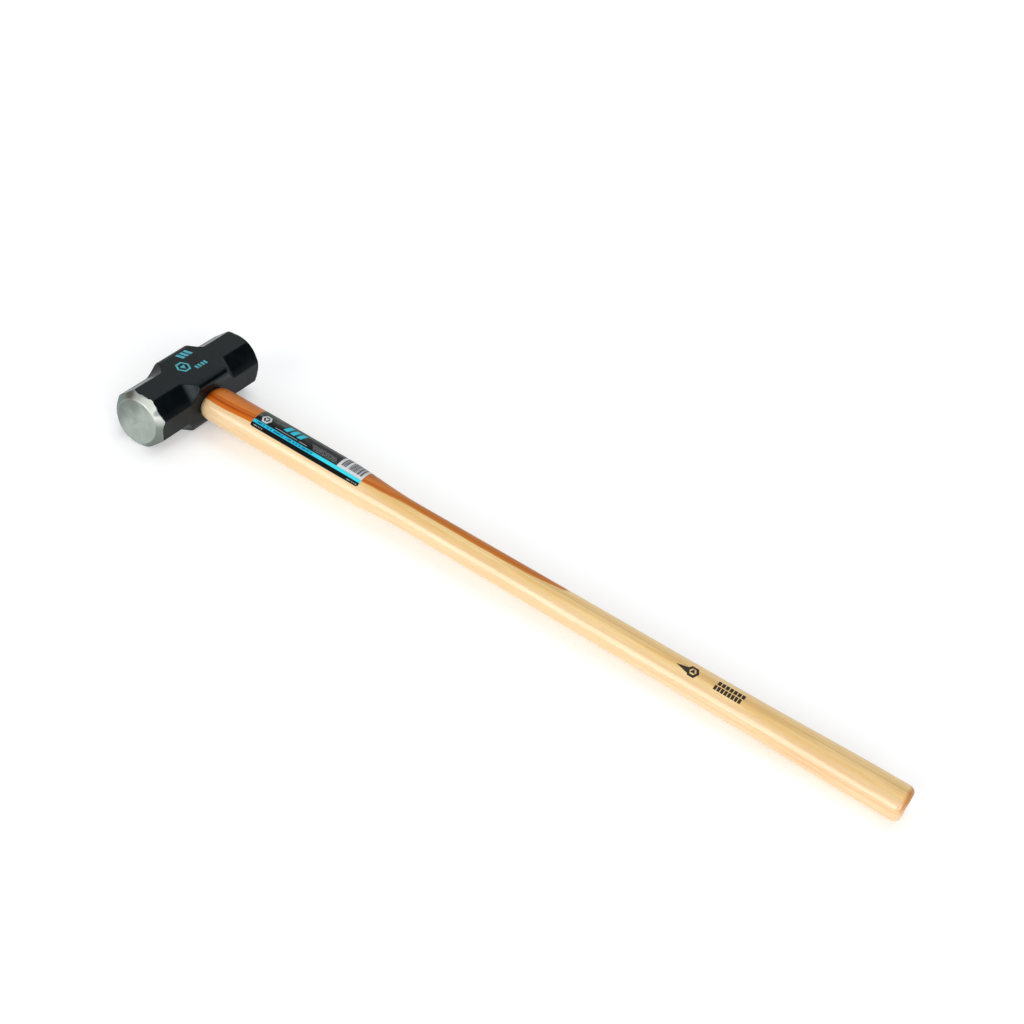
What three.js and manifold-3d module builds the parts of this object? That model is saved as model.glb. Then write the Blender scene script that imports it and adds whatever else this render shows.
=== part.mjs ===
// A double-faced sledge hammer lying on one cheek: a forged steel head, a hickory handle whose
// tongue fills the head's eye, the wedges that hold it there, and the label round the handle.
// All dimensions are in millimetres.
import * as THREE from "three";
import { mergeVertices } from "three/addons/utils/BufferGeometryUtils.js";
import Module from "manifold-3d";

const wasm = await Module();
wasm.setup();

// The hammer's own frame has its origin where the eye's axis crosses the head's axis. +X runs down
// the handle to its butt, +Y along the head, and +Z out of the upper cheek.

// ---- Driving dimensions -----------------------------------------------------------------------
const INCH = 25.4;
const FIT_GAP = 0.3; // kept between neighbouring pieces

// Head: a square block in the middle, octagonal towards both ends, with turned and crowned faces.
const HALF_FLATS = (2.5 * INCH) / 2;
const FACE_RIM_AT = 88.4; // from the middle of the head to the rim of a striking face
const FACE_RADIUS = 26;
const FACE_CROWN = 0.8;
const BEVEL_DEPTH = 7.9; // how far the turned bevel reaches back along the octagon's corners
const BLOCK_ROUND = 7.5; // radius of the block's long edges
const RUNOUT_START = 36.5; // where the octagon's corner facets begin to rise to the block
const RUNOUT_RADIUS = 32;
const RUNOUT_ENTRY = THREE.MathUtils.degToRad(25); // slope at which the rise begins
const RUNOUT_EXIT = THREE.MathUtils.degToRad(55); // slope at its end, beyond the block's edge

// Eye: an oval hole, waisted near its middle and flared most on the side that takes the wedges.
const EYE_FLATNESS = 0.79; // an oval's half-thickness along Z over its half-width along Y
const EYE_WAIST = 17.4;
const EYE_WAIST_AT = -6;
const EYE_HANDLE_MOUTH = 18.3;
const EYE_WEDGE_MOUTH = 19.6;

// Handle, named by half-widths along Y.
const HANDLE_LENGTH = 919;
const TONGUE_PROUD = 2; // of the head, on the wedge side
const SHAFT_FLATNESS = 0.85;
const SHOULDER = 22.3;
const SHOULDER_ROUND = 9.7; // length over which the shoulder rounds into the tongue
const OVAL_CHANGE_END = 60; // where the tongue's flatness has become the shaft's
const SHOULDER_END = 205;
const WAIST_AT = 300;
const WAIST = 17.8;
const SHAFT_TAPER = 0.0035; // growth of the half-width for each millimetre towards the butt
const SWELL_START = 700;
const SWELL_END = 845;
const SWELL = 1.55;
const BUTT_EDGE = 7.5; // radius of the butt's edge

// Wedges: one of timber in the tongue's kerf, and two of steel driven across it.
const TIMBER_WEDGE = { length: 40, halfThick: 2.6, halfTip: 0.5 };
const STEEL_WEDGE = { length: 26, halfThick: 1.6, halfTip: 0.4 };
const STEEL_WEDGE_HALF_WIDTH = 10;
const STEEL_WEDGE_OFFSET = 8.5; // of each steel wedge from the eye's axis, along the head

// Label: a printed film wrapped part of the way round the shoulder.
const LABEL_START = 95;
const LABEL_END = 237;
const LABEL_THICKNESS = 0.4;
const LABEL_FROM = THREE.MathUtils.degToRad(10); // round the oval, from +Y towards +Z
const LABEL_TO = THREE.MathUtils.degToRad(137);

// Fineness of the round surfaces.
const OVAL_SEGMENTS = 44;
const TURNED_SEGMENTS = 64;
const EDGE_SEGMENTS = 5;
const EYE_STEPS = 10; // rings along the eye
const LABEL_STEPS = 14; // rings along the label
const LABEL_SLICE_STEPS = 6;
const WELD_DISTANCE = 1e-4; // closer points are one point
const OVERCUT = 20; // how far a cutting body reaches past what it cuts

// ---- Worked out from the driving dimensions ---------------------------------------------------
const TONGUE_END = -HALF_FLATS - TONGUE_PROUD;
const BUTT_END = TONGUE_END + HANDLE_LENGTH;
const BUTT_EDGE_START = BUTT_END - BUTT_EDGE;
const NECK_START = HALF_FLATS + FIT_GAP;

const { smoothstep, lerp } = THREE.MathUtils;

// ---- Solids -----------------------------------------------------------------------------------

// A closed geometry as a solid that can be joined and cut.
function solidOf(geometry) {
  const bare = geometry.clone();
  bare.deleteAttribute("normal");
  bare.deleteAttribute("uv");
  const merged = mergeVertices(bare, WELD_DISTANCE);
  return new wasm.Manifold(
    new wasm.Mesh({
      numProp: 3,
      vertProperties: merged.attributes.position.array,
      triVerts: new Uint32Array(merged.index.array),
    }),
  );
}

// A solid as a flat-shaded geometry.
function geometryOf(solid) {
  const mesh = solid.getMesh();
  const geometry = new THREE.BufferGeometry()
    .setAttribute("position", new THREE.BufferAttribute(mesh.vertProperties, 3))
    .setIndex(new THREE.BufferAttribute(mesh.triVerts, 1))
    .toNonIndexed();
  geometry.computeVertexNormals();
  return geometry;
}

// Evenly spaced values, with both ends included.
function stations(from, to, steps) {
  return Array.from({ length: steps + 1 }, (_, i) => lerp(from, to, i / steps));
}

// A solid of oval section along X. profile holds [x, half-width] pairs, and flatnessAt gives the
// section's half-thickness over its half-width at x.
function ovalBody(profile, flatnessAt) {
  const first = profile[0];
  const last = profile[profile.length - 1];
  const outline = [[first[0], 0], ...profile, [last[0], 0]].map(([x, r]) => new THREE.Vector2(r, x));
  const geometry = new THREE.LatheGeometry(outline, OVAL_SEGMENTS).rotateZ(-Math.PI / 2);
  const position = geometry.attributes.position;
  for (let i = 0; i < position.count; i++) {
    position.setZ(i, position.getZ(i) * flatnessAt(position.getX(i)));
  }
  return solidOf(geometry);
}

// A flat outline in the plane of two directions, made thick by the same amount on each side of it.
function slab(shape, right, up, halfThickness) {
  const across = new THREE.Vector3().crossVectors(right, up);
  const geometry = new THREE.ExtrudeGeometry(shape, {
    depth: 2 * halfThickness,
    bevelEnabled: false,
    curveSegments: EDGE_SEGMENTS,
  });
  geometry.translate(0, 0, -halfThickness);
  geometry.applyMatrix4(new THREE.Matrix4().makeBasis(right, up, across));
  return solidOf(geometry);
}

const ALONG_X = new THREE.Vector3(1, 0, 0);
const ALONG_Y = new THREE.Vector3(0, 1, 0);
const ALONG_Z = new THREE.Vector3(0, 0, 1);

// ---- Head -------------------------------------------------------------------------------------

// The square bar with rounded long edges that the head is forged from, along Y.
function squareBar() {
  const inner = HALF_FLATS - BLOCK_ROUND;
  const shape = new THREE.Shape();
  shape.absarc(inner, inner, BLOCK_ROUND, 0, Math.PI / 2);
  shape.absarc(-inner, inner, BLOCK_ROUND, Math.PI / 2, Math.PI);
  shape.absarc(-inner, -inner, BLOCK_ROUND, Math.PI, 1.5 * Math.PI);
  shape.absarc(inner, -inner, BLOCK_ROUND, 1.5 * Math.PI, 2 * Math.PI);
  return slab(shape, ALONG_Z, ALONG_X, FACE_RIM_AT + OVERCUT);
}

// What is taken off one corner of the bar at one end: the octagon's flat facet and the hollow
// run-out that rises from it to the block. end is +1 or -1 along Y.
function cornerCut(end, sideX, sideZ) {
  const along = new THREE.Vector3(0, end, 0);
  const out = new THREE.Vector3(sideX, 0, sideZ).normalize();
  const centreAlong = RUNOUT_START + RUNOUT_RADIUS * Math.sin(RUNOUT_ENTRY);
  const centreOut = HALF_FLATS + RUNOUT_RADIUS * Math.cos(RUNOUT_ENTRY);
  const far = FACE_RIM_AT + 2 * OVERCUT;
  const shape = new THREE.Shape();
  shape.moveTo(far, HALF_FLATS);
  shape.lineTo(RUNOUT_START, HALF_FLATS);
  shape.absarc(
    centreAlong,
    centreOut,
    RUNOUT_RADIUS,
    -Math.PI / 2 - RUNOUT_ENTRY,
    -Math.PI / 2 - RUNOUT_EXIT,
    true,
  );
  shape.lineTo(centreAlong - RUNOUT_RADIUS * Math.sin(RUNOUT_EXIT), centreOut);
  shape.lineTo(far, centreOut);
  return slab(shape, along, out, HALF_FLATS);
}

// The shape that turning gives the head: a crowned face and a conical bevel at each end.
function turnedEnvelope() {
  const cornerRadius = HALF_FLATS / Math.cos(Math.PI / 8);
  const bevelSlope = BEVEL_DEPTH / (cornerRadius - FACE_RADIUS);
  const outerRadius = 2 * FACE_RADIUS;
  const bevelEnd = FACE_RIM_AT - bevelSlope * (outerRadius - FACE_RADIUS);
  const face = stations(0, 1, EDGE_SEGMENTS).map(
    (share) => new THREE.Vector2(FACE_RADIUS * share, FACE_RIM_AT + FACE_CROWN * (1 - share ** 2)),
  );
  const upper = [...face, new THREE.Vector2(outerRadius, bevelEnd)].reverse();
  const lower = upper.map((point) => new THREE.Vector2(point.x, -point.y)).reverse();
  return solidOf(new THREE.LatheGeometry([...lower, ...upper], TURNED_SEGMENTS));
}

function eyeHalfWidth(x) {
  const mouth = x > EYE_WAIST_AT ? HALF_FLATS : -HALF_FLATS;
  const mouthHalfWidth = x > EYE_WAIST_AT ? EYE_HANDLE_MOUTH : EYE_WEDGE_MOUTH;
  const share = (x - EYE_WAIST_AT) / (mouth - EYE_WAIST_AT);
  return lerp(EYE_WAIST, mouthHalfWidth, Math.min(share, 1) ** 2);
}

function makeHead() {
  let head = squareBar();
  for (const end of [-1, 1]) {
    for (const sideX of [-1, 1]) {
      for (const sideZ of [-1, 1]) {
        head = head.subtract(cornerCut(end, sideX, sideZ));
      }
    }
  }
  const eyeStations = [
    TONGUE_END - OVERCUT,
    ...stations(-HALF_FLATS, HALF_FLATS, EYE_STEPS),
    HALF_FLATS + OVERCUT,
  ];
  const eye = ovalBody(
    eyeStations.map((x) => [x, eyeHalfWidth(x)]),
    () => EYE_FLATNESS,
  );
  return head.intersect(turnedEnvelope()).subtract(eye);
}

// ---- Handle and wedges ------------------------------------------------------------------------

function handleHalfWidth(x) {
  if (x <= NECK_START) return eyeHalfWidth(x) - FIT_GAP;
  const tongue = EYE_HANDLE_MOUTH - FIT_GAP;
  const fromNeck = Math.min((x - NECK_START) / SHOULDER_ROUND, 1);
  const shoulder = lerp(tongue, SHOULDER, Math.sqrt(1 - (1 - fromNeck) ** 2));
  const grip = WAIST + SHAFT_TAPER * (x - WAIST_AT) + SWELL * smoothstep(x, SWELL_START, SWELL_END);
  return lerp(shoulder, grip, smoothstep(x, SHOULDER_END, WAIST_AT));
}

function handleFlatness(x) {
  return lerp(EYE_FLATNESS, SHAFT_FLATNESS, smoothstep(x, NECK_START, OVAL_CHANGE_END));
}

// The part of the handle inside the eye, before its kerf is sawn.
function tongueBody() {
  const profile = stations(-HALF_FLATS, HALF_FLATS, EYE_STEPS).map((x) => [x, handleHalfWidth(x)]);
  return ovalBody([[TONGUE_END, handleHalfWidth(TONGUE_END)], ...profile], handleFlatness);
}

// A wedge with its thick end flush with the tongue's end and its tip towards +X. grow widens it on
// every side, for the slot that it sits in. thickAlong is the direction of its thickness.
function wedgeBody(size, thickAlong, halfWidth, grow) {
  const thick = size.halfThick + grow;
  const tip = size.halfTip + grow;
  const start = TONGUE_END - (grow > 0 ? OVERCUT : 0);
  const startThick = thick + (start < TONGUE_END ? slope(size) * OVERCUT : 0);
  const end = TONGUE_END + size.length + grow;
  const shape = new THREE.Shape([
    new THREE.Vector2(start, -startThick),
    new THREE.Vector2(end, -tip),
    new THREE.Vector2(end, tip),
    new THREE.Vector2(start, startThick),
  ]);
  return slab(shape, ALONG_X, thickAlong, halfWidth + grow);
}

function slope(size) {
  return (size.halfThick - size.halfTip) / size.length;
}

function timberWedgeBody(grow) {
  return wedgeBody(TIMBER_WEDGE, ALONG_Z, 2 * EYE_WEDGE_MOUTH, grow);
}

function steelWedgeBody(side, grow) {
  const wedge = wedgeBody(STEEL_WEDGE, ALONG_Y, STEEL_WEDGE_HALF_WIDTH, grow);
  return wedge.translate([0, side * STEEL_WEDGE_OFFSET, 0]);
}

function cutSteelWedgeSlots(solid) {
  return solid.subtract(steelWedgeBody(-1, FIT_GAP)).subtract(steelWedgeBody(1, FIT_GAP));
}

function makeHandle() {
  const quarterTurn = stations(0, Math.PI / 2, EDGE_SEGMENTS);
  const lengthwise = [
    TONGUE_END,
    ...stations(-HALF_FLATS, HALF_FLATS, EYE_STEPS),
    ...quarterTurn.map((turn) => NECK_START + SHOULDER_ROUND * (1 - Math.cos(turn))),
    ...stations(OVAL_CHANGE_END, SHOULDER_END, 5),
    ...stations(SHOULDER_END, WAIST_AT, 12).slice(1),
    ...stations(WAIST_AT, SWELL_START, 8).slice(1),
    ...stations(SWELL_START, SWELL_END, 7).slice(1),
  ];
  const edgeWidth = handleHalfWidth(BUTT_EDGE_START);
  const buttEdge = quarterTurn.map((turn) => [
    BUTT_EDGE_START + BUTT_EDGE * Math.sin(turn),
    edgeWidth - BUTT_EDGE * (1 - Math.cos(turn)),
  ]);
  const profile = [...lengthwise.map((x) => [x, handleHalfWidth(x)]), ...buttEdge];
  const body = ovalBody(profile, handleFlatness);
  return cutSteelWedgeSlots(body.subtract(timberWedgeBody(FIT_GAP)));
}

function makeTimberWedge() {
  return cutSteelWedgeSlots(timberWedgeBody(0).intersect(tongueBody()));
}

// ---- Label ------------------------------------------------------------------------------------

function makeLabel() {
  const skin = (proud, overrun) =>
    ovalBody(
      stations(LABEL_START - overrun, LABEL_END + overrun, LABEL_STEPS).map((x) => [
        x,
        handleHalfWidth(x) + proud,
      ]),
      handleFlatness,
    );
  // A pie slice, flattened as the shaft is, that keeps the wrapped part of the ring.
  const reach = 3 * SHOULDER;
  const rim = stations(LABEL_FROM, LABEL_TO, LABEL_SLICE_STEPS).map(
    (turn) => new THREE.Vector2(reach * Math.cos(turn), reach * SHAFT_FLATNESS * Math.sin(turn)),
  );
  const slice = slab(
    new THREE.Shape([new THREE.Vector2(0, 0), ...rim]),
    ALONG_Y,
    ALONG_Z,
    LABEL_END + OVERCUT,
  );
  return skin(FIT_GAP + LABEL_THICKNESS, 0).subtract(skin(FIT_GAP, 1)).intersect(slice);
}

// ---- The assembly -----------------------------------------------------------------------------
const paint = { color: 0x1d2022, roughness: 0.45, metalness: 0.2 };
const hickory = { color: 0xe0b070, roughness: 0.4, metalness: 0 };
const beech = { color: 0xc89c62, roughness: 0.7, metalness: 0 };
const steel = { color: 0x9c9d9a, roughness: 0.4, metalness: 0.9 };
const film = { color: 0x23282a, roughness: 0.3, metalness: 0 };

function piece(name, solid, finish) {
  const mesh = new THREE.Mesh(geometryOf(solid), new THREE.MeshStandardMaterial(finish));
  mesh.name = name;
  return mesh;
}

const hammer = new THREE.Group();
hammer.add(
  piece("hammer_head", makeHead(), paint),
  piece("handle", makeHandle(), hickory),
  piece("timber_wedge", makeTimberWedge(), beech),
  piece("steel_wedge_1", steelWedgeBody(-1, 0), steel),
  piece("steel_wedge_2", steelWedgeBody(1, 0), steel),
  piece("handle_label", makeLabel(), film),
);

// The handle outweighs the head's hold on the ground, so the hammer lies on the lower edge of the
// cheek and on the swell of the butt, tipped a little towards it.
const cheekRestX = HALF_FLATS - BLOCK_ROUND;
const buttRestDepth = handleHalfWidth(SWELL_END) * SHAFT_FLATNESS;
hammer.rotation.y = Math.atan2(HALF_FLATS - buttRestDepth, SWELL_END - cheekRestX);

// The part's origin is on the ground, under the middle of the hammer's box.
const box = new THREE.Box3().setFromObject(hammer, true);
const middle = box.getCenter(new THREE.Vector3());
hammer.position.set(-middle.x, -middle.y, -box.min.z);

const part = new THREE.Group();
part.add(hammer);

export default part;
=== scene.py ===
import math

import bmesh
import bpy
import numpy as np
from mathutils import Matrix, Vector


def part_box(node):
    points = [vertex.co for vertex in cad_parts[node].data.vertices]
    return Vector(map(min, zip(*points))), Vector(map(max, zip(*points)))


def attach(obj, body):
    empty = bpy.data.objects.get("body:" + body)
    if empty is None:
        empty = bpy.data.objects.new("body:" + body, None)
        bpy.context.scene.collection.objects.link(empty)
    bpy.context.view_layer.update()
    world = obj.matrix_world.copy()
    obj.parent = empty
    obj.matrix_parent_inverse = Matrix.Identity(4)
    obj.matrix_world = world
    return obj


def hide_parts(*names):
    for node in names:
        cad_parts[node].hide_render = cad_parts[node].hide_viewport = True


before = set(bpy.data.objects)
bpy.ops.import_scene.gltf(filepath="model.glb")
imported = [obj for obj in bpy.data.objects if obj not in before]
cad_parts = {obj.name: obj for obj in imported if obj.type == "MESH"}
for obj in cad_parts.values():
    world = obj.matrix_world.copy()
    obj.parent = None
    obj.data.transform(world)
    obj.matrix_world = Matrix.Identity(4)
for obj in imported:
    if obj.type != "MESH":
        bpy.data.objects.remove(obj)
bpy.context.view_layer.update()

# A double-faced sledge hammer lying on one cheek. Sizes are in millimetres, in the hammer's own
# frame: its origin is where the eye's axis crosses the head's axis, +X runs down the handle to
# its butt, +Y along the head, and +Z out of the upper cheek.
MM = 0.001

# ---- Sizes, as in the CAD ----------------------------------------------------------------------
HALF_FLATS = 31.75
FACE_RIM_AT = 88.4
FACE_RADIUS = 26
FACE_CROWN = 0.8
BEVEL_DEPTH = 7.9
BLOCK_ROUND = 7.5
RUNOUT_START = 36.5
RUNOUT_RADIUS = 32
RUNOUT_ENTRY = math.radians(25)
RUNOUT_EXIT = math.radians(55)

EYE_FLATNESS = 0.79
EYE_WAIST = 17.4
EYE_WAIST_AT = -6
EYE_HANDLE_MOUTH = 18.3
EYE_WEDGE_MOUTH = 19.6

HANDLE_LENGTH = 919
TONGUE_PROUD = 2
TONGUE_GAP = 0.3
SHAFT_FLATNESS = 0.85
SHOULDER = 22.3
SHOULDER_ROUND = 9.7
OVAL_CHANGE_END = 60
SHOULDER_END = 205
WAIST_AT = 300
WAIST = 17.8
SHAFT_TAPER = 0.0035
SWELL_START = 700
SWELL_END = 845
SWELL = 1.55
BUTT_EDGE = 7.5

TIMBER_WEDGE = {"length": 40, "half_thick": 2.6, "half_tip": 0.5}
STEEL_WEDGE = {"length": 26, "half_thick": 1.6, "half_tip": 0.4}
STEEL_WEDGE_HALF_WIDTH = 10
STEEL_WEDGE_OFFSET = 8.5

LABEL_START = 95
LABEL_END = 237
LABEL_FROM = math.radians(10)
LABEL_TO = math.radians(137)

TONGUE_END = -HALF_FLATS - TONGUE_PROUD
BUTT_END = TONGUE_END + HANDLE_LENGTH
NECK_START = HALF_FLATS + TONGUE_GAP
BEVEL_SLOPE = BEVEL_DEPTH / (HALF_FLATS / math.cos(math.pi / 8) - FACE_RADIUS)

# ---- Sizes of the detail that only the visual model has ----------------------------------------
FACET_ROUND = 2.6
RUNOUT_BLUR = 1.6
RIM_ROUND = 3.2
BEVEL_EDGE_ROUND = 0.8
EYE_MOUTH_ROUND = 1.3
TONGUE_EDGE_ROUND = 0.7
WEDGE_GAP = 0.12
TIMBER_WEDGE_INSET = 0.15
# How far in each ring stands at a wedge's thick end, which rounds its edge.
TIMBER_WEDGE_TRIMS = (0.35, 0.12)
STEEL_WEDGE_TRIMS = (0.45, 0.2, 0.06)
CUTTER_REACH = 2
CUTTER_CORNER = 0.02
SHORTEST_EDGE = 0.0005
LABEL_LIFT = 0.08
LABEL_THICK = 0.14
LABEL_CORNER = 2.4

# The hammer leans from the cheek's lower edge to the swell of the butt.
rest_drop = HALF_FLATS - SHAFT_FLATNESS * (
    WAIST + SHAFT_TAPER * (SWELL_END - WAIST_AT) + SWELL)
REST_TILT = math.atan2(rest_drop, SWELL_END - (HALF_FLATS - BLOCK_ROUND))
head_low, head_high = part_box("hammer_head")
REST = Matrix.Translation((head_low + head_high) / 2) @ Matrix.Rotation(REST_TILT, 4, "Y")


# ---- Curves that the shapes follow -------------------------------------------------------------
def smooth_share(value, start, end):
    share = np.clip((value - start) / (end - start), 0, 1)
    return share * share * (3 - 2 * share)


def lerp(a, b, share):
    return a + (b - a) * share


def eye_half_width(x):
    mouth = np.where(x > EYE_WAIST_AT, EYE_HANDLE_MOUTH, EYE_WEDGE_MOUTH)
    at = np.where(x > EYE_WAIST_AT, HALF_FLATS, -HALF_FLATS)
    share = np.minimum((x - EYE_WAIST_AT) / (at - EYE_WAIST_AT), 1)
    return lerp(EYE_WAIST, mouth, share * share)


def handle_half_width(x):
    x = np.asarray(x, float)
    tongue = eye_half_width(np.minimum(x, NECK_START)) - TONGUE_GAP
    run = np.clip((x - NECK_START) / SHOULDER_ROUND, 0, 1)
    neck = eye_half_width(np.float64(HALF_FLATS)) - TONGUE_GAP
    shoulder = neck + (SHOULDER - neck) * np.sqrt(1 - (1 - run) ** 2)
    shaft = WAIST + SHAFT_TAPER * (x - WAIST_AT) + SWELL * smooth_share(x, SWELL_START, SWELL_END)
    grip = lerp(SHOULDER, shaft, smooth_share(x, SHOULDER_END, WAIST_AT))
    return np.where(x < NECK_START, tongue, np.where(run < 1, shoulder, grip))


def handle_flatness(x):
    return lerp(EYE_FLATNESS, SHAFT_FLATNESS, smooth_share(x, NECK_START, OVAL_CHANGE_END))


# ---- Mesh making -------------------------------------------------------------------------------
def new_object(name, points, faces):
    """An object in the hammer's frame, placed at rest, from points in millimetres."""
    mesh = bpy.data.meshes.new(name)
    mesh.from_pydata((np.asarray(points) * MM).tolist(), [], faces)
    mesh.validate()
    bm = bmesh.new()
    bm.from_mesh(mesh)
    bmesh.ops.recalc_face_normals(bm, faces=bm.faces)
    bm.to_mesh(mesh)
    bm.free()
    thing = bpy.data.objects.new(name, mesh)
    thing.matrix_world = REST
    bpy.context.scene.collection.objects.link(thing)
    return thing


def skin(rings, start, end):
    """Points and faces of a closed skin over rings of points, drawn to a point at either end."""
    rows, columns = rings.shape[:2]
    points = np.concatenate([[start], rings.reshape(-1, 3), [end]])
    last = len(points) - 1
    faces = []
    for j in range(columns):
        k = (j + 1) % columns
        faces.append((0, 1 + j, 1 + k))
        faces.append((last, last - columns + k, last - columns + j))
        for i in range(rows - 1):
            here = 1 + i * columns
            faces.append((here + j, here + columns + j, here + columns + k, here + k))
    return points, faces


def spans(*stops):
    """Numbers from stop to stop: each stop after the first is (value, count of steps)."""
    values = [stops[0]]
    for value, steps in stops[1:]:
        values.extend(np.linspace(values[-1], value, steps + 1)[1:])
    return np.array(values)


def subtract(body, cutter):
    """Cuts one object by another, and removes the cutter."""
    cut = body.modifiers.new("cut", "BOOLEAN")
    cut.operation = "DIFFERENCE"
    cut.solver = "EXACT"
    cut.object = cutter
    bpy.context.view_layer.update()
    evaluated = body.evaluated_get(bpy.context.evaluated_depsgraph_get())
    mesh = bpy.data.meshes.new_from_object(evaluated)
    body.modifiers.clear()
    old = body.data
    body.data = mesh
    bpy.data.meshes.remove(old)
    bpy.data.objects.remove(cutter)


def finish_shading(thing, degrees):
    """Smooth shading, with sharp edges where the faces turn by more than the angle.

    Edges of no length, which a cut leaves behind, are dissolved."""
    mesh = thing.data
    mesh.polygons.foreach_set("use_smooth", [True] * len(mesh.polygons))
    bm = bmesh.new()
    bm.from_mesh(mesh)
    bmesh.ops.dissolve_degenerate(bm, dist=SHORTEST_EDGE * MM, edges=bm.edges)
    limit = math.radians(degrees)
    for edge in bm.edges:
        edge.smooth = len(edge.link_faces) == 2 and edge.calc_face_angle(0) < limit
    bm.to_mesh(mesh)
    bm.free()


# ---- Head --------------------------------------------------------------------------------------
def fillet(radius, degrees):
    """The blend width that rounds an edge, whose faces turn by the angle, to the radius."""
    return 4 * radius * (1 - math.cos(math.radians(degrees) / 2))


def smooth_max(a, b, width):
    near = np.maximum(width - np.abs(a - b), 0)
    return np.maximum(a, b) + near * near / (4 * width)


def corner_reach(y):
    """Distance of the corner facets from the head's axis: they rise to the block's edges.

    It is averaged over a short run, which softens where each hollow starts."""
    total = 0
    shifts = np.linspace(-RUNOUT_BLUR, RUNOUT_BLUR, 9)
    for shift in shifts:
        along = np.abs(y + shift)
        centre = RUNOUT_START + RUNOUT_RADIUS * math.sin(RUNOUT_ENTRY)
        out = HALF_FLATS + RUNOUT_RADIUS * math.cos(RUNOUT_ENTRY)
        exit_at = centre - RUNOUT_RADIUS * math.sin(RUNOUT_EXIT)
        depth = np.clip(centre - np.maximum(along, exit_at), 0, RUNOUT_RADIUS)
        arc = out - np.sqrt(RUNOUT_RADIUS ** 2 - depth ** 2)
        beyond = math.tan(RUNOUT_EXIT) * np.maximum(exit_at - along, 0)
        total = total + np.where(along > RUNOUT_START, HALF_FLATS, arc + beyond)
    return total / len(shifts)


def head_field(x, y, z):
    """Below zero inside the head, above zero outside it."""
    block = smooth_max(np.abs(x) - HALF_FLATS, np.abs(z) - HALF_FLATS, fillet(BLOCK_ROUND, 90))
    corner = (np.abs(x) + np.abs(z)) / math.sqrt(2) - corner_reach(y)
    bar = smooth_max(block, corner, fillet(FACET_ROUND, 45))
    radius = np.hypot(x, z)
    bevel = np.abs(y) - FACE_RIM_AT + BEVEL_SLOPE * (radius - FACE_RADIUS)
    bevel = bevel / math.hypot(1, BEVEL_SLOPE)
    dome = np.abs(y) - FACE_RIM_AT - FACE_CROWN * (1 - (radius / FACE_RADIUS) ** 2)
    face = smooth_max(bevel, dome, fillet(RIM_ROUND, 40))
    return smooth_max(bar, face, fillet(BEVEL_EDGE_ROUND, 47))


def on_head(centre_y, direction):
    """Where rays from the head's axis leave the head."""
    near = np.zeros(direction.shape[:-1])
    far = np.full(direction.shape[:-1], 3.0 * HALF_FLATS)
    for _ in range(40):
        middle = (near + far) / 2
        at = direction * middle[..., None]
        inside = head_field(at[..., 0], at[..., 1] + centre_y, at[..., 2]) < 0
        near = np.where(inside, middle, near)
        far = np.where(inside, far, middle)
    points = direction * far[..., None]
    points[..., 1] += centre_y
    return points


def head_columns():
    """Angles round the head's axis, closest together along the octagon's edges."""
    sector, steps = math.pi / 4, 40
    share = (np.arange(steps) + 0.5) / steps * 2 - 1
    bunched = share + 0.5 * np.sin(math.pi * share) / math.pi
    return np.concatenate([sector * (k + bunched / 2) for k in range(8)])


# Past this place, the skin of either end of the head fans out from a point on the axis.
CAP_AT = 60


def make_head():
    turns = head_columns()
    octagon = HALF_FLATS / np.cos((turns + math.pi / 8) % (math.pi / 4) - math.pi / 8)
    edge_at = FACE_RIM_AT - BEVEL_SLOPE * (octagon - FACE_RADIUS)
    rim = math.atan2(FACE_RADIUS, FACE_RIM_AT - CAP_AT)
    edge = np.arctan2(octagon, edge_at - CAP_AT)
    rim_blur, edge_blur = math.radians(5), math.radians(2.4)
    # the rings lie closest together round the face's rim and the bevel's outer edge
    marks = (
        (np.full_like(edge, rim - rim_blur), 14),
        (np.full_like(edge, rim + rim_blur), 14),
        (edge - edge_blur, 5),
        (edge + edge_blur, 10),
        (np.full_like(edge, math.pi / 2), 9),
    )
    leans = [np.full_like(edge, math.radians(2))]
    for mark, steps in marks:
        before = leans[-1]
        leans.extend(lerp(before, mark, s / steps) for s in range(1, steps + 1))
    leans = np.array(leans)
    out = np.stack([np.sin(leans) * np.cos(turns), np.cos(leans), np.sin(leans) * np.sin(turns)], -1)
    cap = on_head(CAP_AT, out)
    stations = spans(CAP_AT, (44, 8), (14, 40), (-14, 12), (-44, 40), (-CAP_AT, 8))[1:-1]
    around = np.stack([np.cos(turns), np.zeros_like(turns), np.sin(turns)], -1)
    side = [on_head(y, around) for y in stations]
    mirrored = cap[::-1] * np.array([1, -1, 1])
    rings = np.concatenate([cap, side, mirrored])
    peak = FACE_RIM_AT + FACE_CROWN
    head = new_object("head_forging", *skin(rings, (0, peak, 0), (0, -peak, 0)))
    subtract(head, eye_cutter())
    finish_shading(head, 38)
    return head


def eye_cutter():
    """The eye as a solid: flared, with a rounded lip at either mouth."""
    reach = HALF_FLATS + 2 * CUTTER_REACH
    lip = EYE_MOUTH_ROUND
    stations = spans(-reach, (-HALF_FLATS, 2), (-HALF_FLATS + lip, 8), (HALF_FLATS - lip, 24),
                     (HALF_FLATS, 8), (reach, 2))
    depth = np.clip(np.abs(stations) - (HALF_FLATS - lip), 0, lip)
    flare = lip - np.sqrt(lip ** 2 - depth ** 2)
    past = np.maximum(np.abs(stations) - HALF_FLATS, 0)
    width = eye_half_width(stations) + flare + past
    turns = np.linspace(0, 2 * math.pi, 96, endpoint=False)
    rings = np.array([
        np.stack([np.full_like(turns, x), w * np.cos(turns), (w - f) * EYE_FLATNESS * np.sin(turns)
                  + f * np.sin(turns)], -1)
        for x, w, f in zip(stations, width, flare + past)])
    return new_object("eye_cutter", *skin(rings, (-reach, 0, 0), (reach, 0, 0)))


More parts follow.
